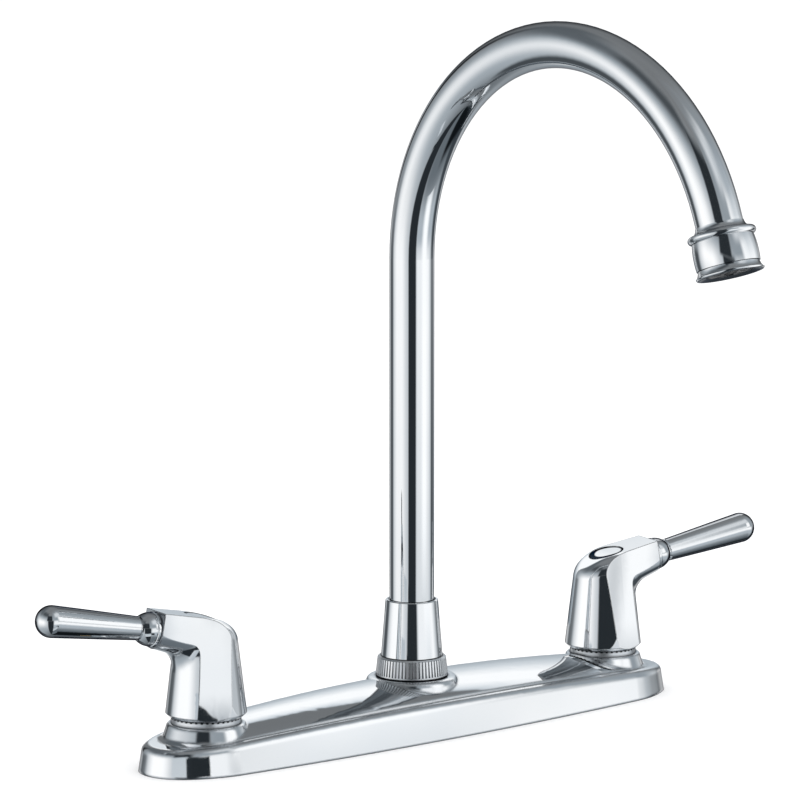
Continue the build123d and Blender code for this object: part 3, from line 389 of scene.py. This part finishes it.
def build_studio_cards():
    """Cards near the object, which stand in its reflections where the far panels can't."""
    for name, (x, y), (half_x, half_y), top, stops in STRAIGHT_CARDS:
        place_card(name, ((x - half_x, y - half_y), (x + half_x, y + half_y)), top, stops)
    step = (BENT_CARD_LAST - BENT_CARD_FIRST) / BENT_CARD_FACETS
    bend = [math.radians(BENT_CARD_FIRST + step * i) for i in range(BENT_CARD_FACETS + 1)]
    line = [(BENT_CARD_RADIUS * math.sin(a), BENT_CARD_RADIUS * math.cos(a)) for a in bend]
    place_card("white board beside the camera", line, BENT_CARD_TOP, BENT_CARD_STOPS, bent_card_mask)


def build_camera():
    data = bpy.data.cameras.new("photo camera")
    data.sensor_width = SENSOR_MM
    data.sensor_fit = "HORIZONTAL"
    data.lens = CAMERA_FOCAL_PX * SENSOR_MM / FRAME_PX
    data.clip_end = CAMERA_REACH
    camera = bpy.data.objects.new("photo camera", data)
    ahead = Vector((math.sin(CAMERA_YAW) * math.cos(CAMERA_PITCH),
                    math.cos(CAMERA_YAW) * math.cos(CAMERA_PITCH), -math.sin(CAMERA_PITCH)))
    camera.location = CAMERA_PLACE
    camera.rotation_euler = ahead.to_track_quat("-Z", "Y").to_euler()
    bpy.context.scene.collection.objects.link(camera)
    bpy.context.scene.camera = camera


# ---- effects that more than one finish uses -------------------------------------------------
def effect_group(name, *numbers):
    """Node group that takes a place, a normal and some numbers; returns it with its two ends."""
    group = bpy.data.node_groups.new(name, "ShaderNodeTree")
    group.interface.new_socket("Place", in_out="INPUT", socket_type="NodeSocketVector")
    group.interface.new_socket("Normal", in_out="INPUT", socket_type="NodeSocketVector").hide_value = True
    for number in numbers:
        group.interface.new_socket(number, in_out="INPUT", socket_type="NodeSocketFloat")
    group.interface.new_socket("Mask", in_out="OUTPUT", socket_type="NodeSocketFloat")
    group.interface.new_socket("Normal", in_out="OUTPUT", socket_type="NodeSocketVector")
    return group, group.nodes.new("NodeGroupInput").outputs, group.nodes.new("NodeGroupOutput").inputs


def put_out(group, source, out, mask):
    """Puts out a mask, and the normal handed in with the mask raised on it."""
    group.links.new(mask, out["Mask"])
    bump = group.nodes.new("ShaderNodeBump")
    for key, value in (("Height", mask), ("Distance", source["Depth"]), ("Normal", source["Normal"])):
        group.links.new(value, bump.inputs[key])
    group.links.new(bump.outputs["Normal"], out["Normal"])


def scaled_place(tree, place, along_x, along_y, along_z):
    joined = tree.nodes.new("ShaderNodeCombineXYZ")
    factors = (along_x, along_y, along_z)
    for source, factor, target in zip(split_vector(tree, place), factors, joined.inputs):
        tree.links.new(math_node(tree, "MULTIPLY", source, factor), target)
    return joined.outputs[0]


def slow_ripple_group():
    """Long low waves left by the buffing wheel."""
    group, source, out = effect_group("slow ripple", "Scale", "Depth")
    place = scaled_place(group, source["Place"], source["Scale"], source["Scale"], source["Scale"])
    put_out(group, source, out, noise(group, place, scale=1.0, detail=1.0, rough=0.35))
    return group


def hairline_group():
    """Fine crossing marks of the last polish."""
    group, source, out = effect_group("polish hairlines", "Scale", "Stretch", "Depth")
    fine = source["Scale"]
    long = math_node(group, "MULTIPLY", fine, source["Stretch"])

    def marks(along_x, along_y):
        place = scaled_place(group, source["Place"], along_x, along_y, fine)
        return noise(group, place, scale=1.0, detail=3.0, rough=0.6)

    both = math_node(group, "ADD", marks(long, fine), marks(fine, long))
    put_out(group, source, out, math_node(group, "MULTIPLY", both, 0.5))
    return group


def turning_group():
    """Tool rings round the nearest of the three upright axes, valve, spout, valve."""
    group, source, out = effect_group("turning rings", "Axis Spacing", "Pitch", "Depth")
    parts = split_vector(group, source["Place"])
    spacing = source["Axis Spacing"]
    nearest = math_node(group, "ROUND", math_node(group, "DIVIDE", parts["X"], spacing))
    aside = math_node(group, "SUBTRACT", parts["X"], math_node(group, "MULTIPLY", nearest, spacing))
    squares = [math_node(group, "POWER", part, 2.0) for part in (aside, parts["Y"])]
    radius = math_node(group, "SQRT", math_node(group, "ADD", *squares))
    run = math_node(group, "ADD", radius, parts["Z"])
    wobble = noise(group, source["Place"], scale=RING_WOBBLE_SCALE)
    uneven = math_node(group, "MULTIPLY", wobble, RING_WOBBLE)
    turns = math_node(group, "DIVIDE", math_node(group, "ADD", run, uneven), source["Pitch"])
    put_out(group, source, out, math_node(group, "PINGPONG", turns, 1.0))
    return group


def grain_group():
    """Fine even grain, as a mould leaves it."""
    group, source, out = effect_group("moulded grain", "Scale", "Depth")
    place = scaled_place(group, source["Place"], source["Scale"], source["Scale"], source["Scale"])
    cells = group.nodes.new("ShaderNodeTexVoronoi")
    cells.feature = "SMOOTH_F1"
    cells.inputs["Scale"].default_value = 1.0
    group.links.new(place, cells.inputs["Vector"])
    pits = math_node(group, "MULTIPLY", cells.outputs["Distance"], 0.5)
    cloud = noise(group, place, scale=0.4, detail=4.0, rough=0.6)
    put_out(group, source, out, math_node(group, "MULTIPLY_ADD", cloud, 0.6, pits))
    return group


def use_effect(tree, group, place, normal, **numbers):
    """Places an effect group; numbers are given by socket name with spaces as underscores."""
    node = tree.nodes.new("ShaderNodeGroup")
    node.node_tree = group
    tree.links.new(place, node.inputs["Place"])
    tree.links.new(skin_normal(tree) if normal is None else normal, node.inputs["Normal"])
    for name, value in numbers.items():
        node.inputs[name.replace("_", " ")].default_value = value
    return node.outputs


# ---- polished plating -----------------------------------------------------------------------
def new_finish(name, metallic, coat=0.0):
    material = bpy.data.materials.new(name)
    material.use_nodes = True
    tree = material.node_tree
    shader = tree.nodes["Principled BSDF"]
    shader.inputs["Metallic"].default_value = metallic
    shader.inputs["Coat Weight"].default_value = coat
    place = tree.nodes.new("ShaderNodeTexCoord").outputs["Object"]
    return material, tree, shader, place


def painted_rim_shade_mask(tree, first, every_way):
    """Mask of the painted rim shade: how far a skin turns away from the eye, from first on; level skins
    stay out of it unless every way is asked for."""
    facing = tree.nodes.new("ShaderNodeLayerWeight")
    facing.inputs["Blend"].default_value = 0.5
    turned = spread(tree, facing.outputs["Facing"], 0.0, 1.0, first, first + RIM_RUN)
    if every_way:
        return turned
    upright = math_node(tree, "ABSOLUTE", split_vector(tree, skin_normal(tree))["Z"])
    return math_node(tree, "MULTIPLY", spread(tree, upright, 1.0, 0.0, *LEVEL_SKIN), turned)


def painted_nook_shade_mask(tree, strength, open_sky):
    """Painted shade that grows where the skin is closed in by its neighbours; open_sky is where it starts.
    """
    nook = tree.nodes.new("ShaderNodeAmbientOcclusion")
    nook.inputs["Distance"].default_value = NOOK_REACH
    nook.samples = 8
    return spread(tree, nook.outputs["AO"], strength, 0.0, open_sky - NOOK_RUN, open_sky)


def eased_edge(tree, radius):
    """Normal with the sharp edges eased, as plating leaves them."""
    bevel = tree.nodes.new("ShaderNodeBevel")
    bevel.samples = 6
    bevel.inputs["Radius"].default_value = radius
    return bevel.outputs["Normal"]


def painted_edge_line_mask(tree, eased, strength):
    """Mask of painted dark lines along the eased edges, where the eased normal leaves the skin's own."""
    return spread(tree, dot_product(tree, skin_normal(tree), eased), strength, 0.0, *EDGE_TURN)


def chrome_finish(effects, name, dull=0.0, rim=0.8, rim_from=0.62, every_way=False,
                  nook=0.0, open_sky=0.85, edge=0.0, edge_line=0.0, mark=None):
    """Polished plating, darkened with painted shade at its rims by their facing.

    dull is added to its roughness; nook and edge_line darken its nooks and edges with painted shade; edge
    is the radius that its edges are eased by, and mark is a function that returns the mask of a part
    darkened with painted shade.
    """
    material, tree, shader, place = new_finish(name, 1.0)
    eased = eased_edge(tree, edge) if edge else None
    waves = use_effect(tree, effects["ripple"], place, eased, Scale=38.0, Depth=0.00003)
    lines = use_effect(tree, effects["hairlines"], place, waves["Normal"],
                       Scale=2600.0, Stretch=0.06, Depth=0.0000012)
    tint = mix_colour(tree, spread(tree, waves["Mask"], 0.0, 1.0), *PLATING_TONES)
    rough = spread(tree, lines["Mask"], *(value + dull for value in PLATING_ROUGHNESS))
    # dark gathers all painted shade: at rims by their facing, in nooks, along eased edges and on marked
    # parts
    dark = math_node(tree, "MULTIPLY", painted_rim_shade_mask(tree, rim_from, every_way), rim)
    # painted shade in nooks, found by ambient occlusion; the same mask also dulls them
    if nook:
        closed = painted_nook_shade_mask(tree, nook, open_sky)
        dark = math_node(tree, "MAXIMUM", dark, closed)
        rough = math_node(tree, "MULTIPLY_ADD", closed, NOOK_BLUR, rough)
    # painted dark lines along the eased edges
    if edge_line:
        dark = math_node(tree, "MAXIMUM", dark, painted_edge_line_mask(tree, eased, edge_line))
    if mark:
        dark = math_node(tree, "MAXIMUM", dark, mark(tree, place))
    # painted shade darkens the colour and the tint of the reflections
    tree.links.new(mix_colour(tree, dark, tint, PAINTED_SHADE_TONE), shader.inputs["Base Color"])
    tree.links.new(mix_colour(tree, dark, CLEAR_TINT, PAINTED_SHADE_TINT), shader.inputs["Specular Tint"])
    tree.links.new(rough, shader.inputs["Roughness"])
    tree.links.new(lines["Normal"], shader.inputs["Normal"])
    return material


def painted_cap_ring_shade(cap):
    """Mask of the painted shade of the groove along the rim of an oval cap, by the cap's own long and
    short way.
    """
    top = max(v.co.z for v in cap.data.vertices)
    around = [v.co.copy() for v in cap.data.vertices if v.co.z > top - CAP_RIM_HEIGHT]
    middle = sum(around, Vector()) / len(around)
    far = max(around, key=lambda co: (co - middle).xy.length)
    long_way = (far - middle).xy.normalized()
    short_way = Vector((-long_way.y, long_way.x))

    def mask(tree, place):
        parts = split_vector(tree, place)
        x = math_node(tree, "SUBTRACT", parts["X"], middle.x)
        y = math_node(tree, "SUBTRACT", parts["Y"], middle.y)

        def share_squared(way):
            half = max(abs((co - middle).xy.dot(way)) for co in around)
            along = math_node(tree, "ADD", math_node(tree, "MULTIPLY", x, way.x / half),
                              math_node(tree, "MULTIPLY", y, way.y / half))
            return math_node(tree, "POWER", along, 2.0)

        squares = math_node(tree, "ADD", share_squared(long_way), share_squared(short_way))
        return spread(tree, math_node(tree, "SQRT", squares), 0.0, CAP_RING_DARKNESS, *CAP_RING)
    return mask


def painted_lip_shade(tree, place):
    """Mask of painted shade on the flat lip round the aerator's mouth, which faces down along the outlet;
    it goes by the skin's way alone, not by its place."""
    along = dot_product(tree, skin_normal(tree), OUTLET_WAY)
    return spread(tree, along, 0.0, LIP_DARKNESS, *LIP_TURN)


# ---- finishes of the pieces that aren't plated ----------------------------------------------
def brass_finish(effects):
    """Bare brass with the rings of the lathe and a thin uneven tarnish."""
    material, tree, shader, place = new_finish("turned bare brass", 1.0)
    rings = use_effect(tree, effects["turning"], place, None,
                       Axis_Spacing=VALVE_FROM_SPOUT, Pitch=0.00022, Depth=0.000012)
    cloud = noise(tree, place, scale=90.0, detail=4.0, rough=0.55)
    in_ring = spread(tree, rings["Mask"], 0.0, 0.35, 0.0, 1.0)
    clean = mix_colour(tree, in_ring, (0.76, 0.58, 0.29), (0.60, 0.43, 0.18))
    tinted = mix_colour(tree, spread(tree, cloud, 0.0, 0.55), clean, (0.55, 0.36, 0.17))
    tree.links.new(tinted, shader.inputs["Base Color"])
    tree.links.new(spread(tree, cloud, 0.22, 0.40), shader.inputs["Roughness"])
    tree.links.new(rings["Normal"], shader.inputs["Normal"])
    return material


def copper_finish(effects):
    """Copper with the long marks of the drawing die and darker clouds."""
    material, tree, shader, place = new_finish("drawn copper", 1.0)
    drawn = use_effect(tree, effects["hairlines"], place, None, Scale=1500.0, Stretch=0.02, Depth=0.000006)
    cloud = noise(tree, place, scale=60.0, detail=5.0, rough=0.6)
    tint = mix_colour(tree, spread(tree, cloud, 0.0, 0.8), (0.80, 0.43, 0.27), (0.50, 0.24, 0.16))
    tree.links.new(tint, shader.inputs["Base Color"])
    tree.links.new(spread(tree, drawn["Mask"], 0.20, 0.42), shader.inputs["Roughness"])
    tree.links.new(drawn["Normal"], shader.inputs["Normal"])
    return material


def grained_finish(effects, name, metallic, tones, roughness, scale, depth, cloud_of):
    """Two close tones in clouds, under a fine grain that also varies the sheen."""
    material, tree, shader, place = new_finish(name, metallic)
    grain = use_effect(tree, effects["grain"], place, None, Scale=scale, Depth=depth)
    cloud = noise(tree, place, **cloud_of)
    tree.links.new(mix_colour(tree, spread(tree, cloud, 0.0, 1.0), *tones), shader.inputs["Base Color"])
    tree.links.new(spread(tree, grain["Mask"], *roughness), shader.inputs["Roughness"])
    tree.links.new(grain["Normal"], shader.inputs["Normal"])
    return material


def zinc_finish(effects):
    return grained_finish(effects, "zinc plated steel", 1.0, ((0.64, 0.65, 0.66), (0.52, 0.56, 0.62)),
                          (0.26, 0.44), scale=2200.0, depth=0.000008,
                          cloud_of={"scale": 240.0, "detail": 3.0})


def moulded_finish(effects, name, tones, roughness, scale, depth, sheen=0.5):
    """Plastic or rubber from a mould, in two close tones."""
    material = grained_finish(effects, name, 0.0, tones, roughness, scale, depth,
                              cloud_of={"scale": 130.0, "detail": 4.0, "rough": 0.6})
    material.node_tree.nodes["Principled BSDF"].inputs["Specular IOR Level"].default_value = sheen
    return material


def white_plastic_finish(effects):
    return moulded_finish(effects, "moulded white plastic", ((0.80, 0.80, 0.77), (0.70, 0.70, 0.67)),
                          (0.34, 0.52), scale=1600.0, depth=0.000006)


def black_rubber_finish(effects):
    return moulded_finish(effects, "moulded black rubber", ((0.022, 0.022, 0.023), (0.040, 0.040, 0.041)),
                          (0.62, 0.84), scale=1900.0, depth=0.000014)


def dark_screen_finish(effects):
    return moulded_finish(effects, "dark aerator screen", ((0.020, 0.021, 0.023), (0.045, 0.047, 0.050)),
                          (0.30, 0.50), scale=2400.0, depth=0.00001, sheen=0.08)


def ceramic_finish(effects):
    """White ceramic with the faint rings of lapping."""
    material, tree, shader, place = new_finish("lapped ceramic", 0.0, coat=0.4)
    lapped = use_effect(tree, effects["turning"], place, None,
                        Axis_Spacing=VALVE_FROM_SPOUT, Pitch=0.00009, Depth=0.000002)
    cloud = noise(tree, place, scale=900.0, detail=3.0)
    tint = mix_colour(tree, spread(tree, cloud, 0.0, 1.0), (0.88, 0.88, 0.85), (0.80, 0.80, 0.77))
    tree.links.new(tint, shader.inputs["Base Color"])
    tree.links.new(spread(tree, cloud, 0.10, 0.20), shader.inputs["Roughness"])
    tree.links.new(lapped["Normal"], shader.inputs["Normal"])
    return material


def build_finishes(nodes):
    """Every finish by its key; the chromed ones differ in the painted shade of their rims, nooks, edges
    and marks.
    """
    effects = {"ripple": slow_ripple_group(), "hairlines": hairline_group(),
               "turning": turning_group(), "grain": grain_group()}

    def chrome(name, **values):
        return chrome_finish(effects, name, **values)

    return {
        # the numbers after each chrome's name set how much painted shade darkens its rims, nooks, edges
        # and marked parts
        "chrome": chrome("polished chrome plating"),
        "plate_chrome": chrome("chrome of the deck plate", nook=0.9, open_sky=0.93, edge=0.0016),
        "handle_chrome": chrome("chrome of the handles", nook=0.6, edge=0.0006, edge_line=0.8),
        "grip_chrome": chrome("chrome of the levers", rim=0.9, rim_from=0.44, every_way=True),
        "spout_chrome": chrome("chrome of the spout", every_way=True),
        "mouth_chrome": chrome("chrome of the aerator", mark=painted_lip_shade),
        "knurled_chrome": chrome("rolled chrome of the nuts", dull=0.27, nook=0.98, open_sky=1.0),
        "left_cap": chrome("left index cap", dull=0.03, mark=painted_cap_ring_shade(nodes["left_index_cap"])),
        "right_cap": chrome("right index cap", dull=0.03, mark=painted_cap_ring_shade(nodes["right_index_cap"])),
        "bare_brass": brass_finish(effects),
        "copper_tube": copper_finish(effects),
        "zinc_steel": zinc_finish(effects),
        "white_ceramic": ceramic_finish(effects),
        "white_plastic": white_plastic_finish(effects),
        "black_rubber": black_rubber_finish(effects),
        "dark_screen": dark_screen_finish(effects),
    }


# which finish each piece has, left and right alike; every other piece has the plain chrome
FINISH_OF = {
    "deck_plate": "plate_chrome", "spout_nut": "knurled_chrome", "bonnet_nut": "knurled_chrome",
    "handle_body": "handle_chrome", "lever_grip": "grip_chrome", "lever_collar": "grip_chrome",
    "spout_tube": "spout_chrome", "outlet_collar": "spout_chrome", "aerator_shell": "mouth_chrome",
    "left_index_cap": "left_cap", "right_index_cap": "right_cap",
    "deck_gasket": "black_rubber", "mounting_washers": "zinc_steel", "mounting_nuts": "bare_brass",
    "valve_body": "bare_brass", "waterway_tube": "copper_tube", "seat_seal": "black_rubber",
    "cartridge": "bare_brass", "fixed_disc": "white_ceramic", "moving_disc": "white_ceramic",
    "stem": "bare_brass", "stem_o_ring": "black_rubber", "handle_screw": "zinc_steel",
    "spout_post": "bare_brass", "spout_thrust_washer": "white_plastic", "spout_tail": "bare_brass",
    "spout_o_rings": "black_rubber", "aerator_washer": "black_rubber", "aerator_insert": "white_plastic",
    "aerator_screen": "dark_screen",
}


def finish_of(node_name):
    either_side = node_name.removeprefix("left_").removeprefix("right_")
    return FINISH_OF.get(node_name) or FINISH_OF.get(either_side, "chrome")


def main():
    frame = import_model()
    bpy.context.scene.view_settings.view_transform = "Standard"
    build_camera()
    build_studio_world()
    build_floor()
    build_lights()
    build_studio_cards()
    finishes = build_finishes(frame["nodes"])
    for name, node in frame["nodes"].items():
        node.data.materials.clear()
        node.data.materials.append(finishes[finish_of(name)])


main()
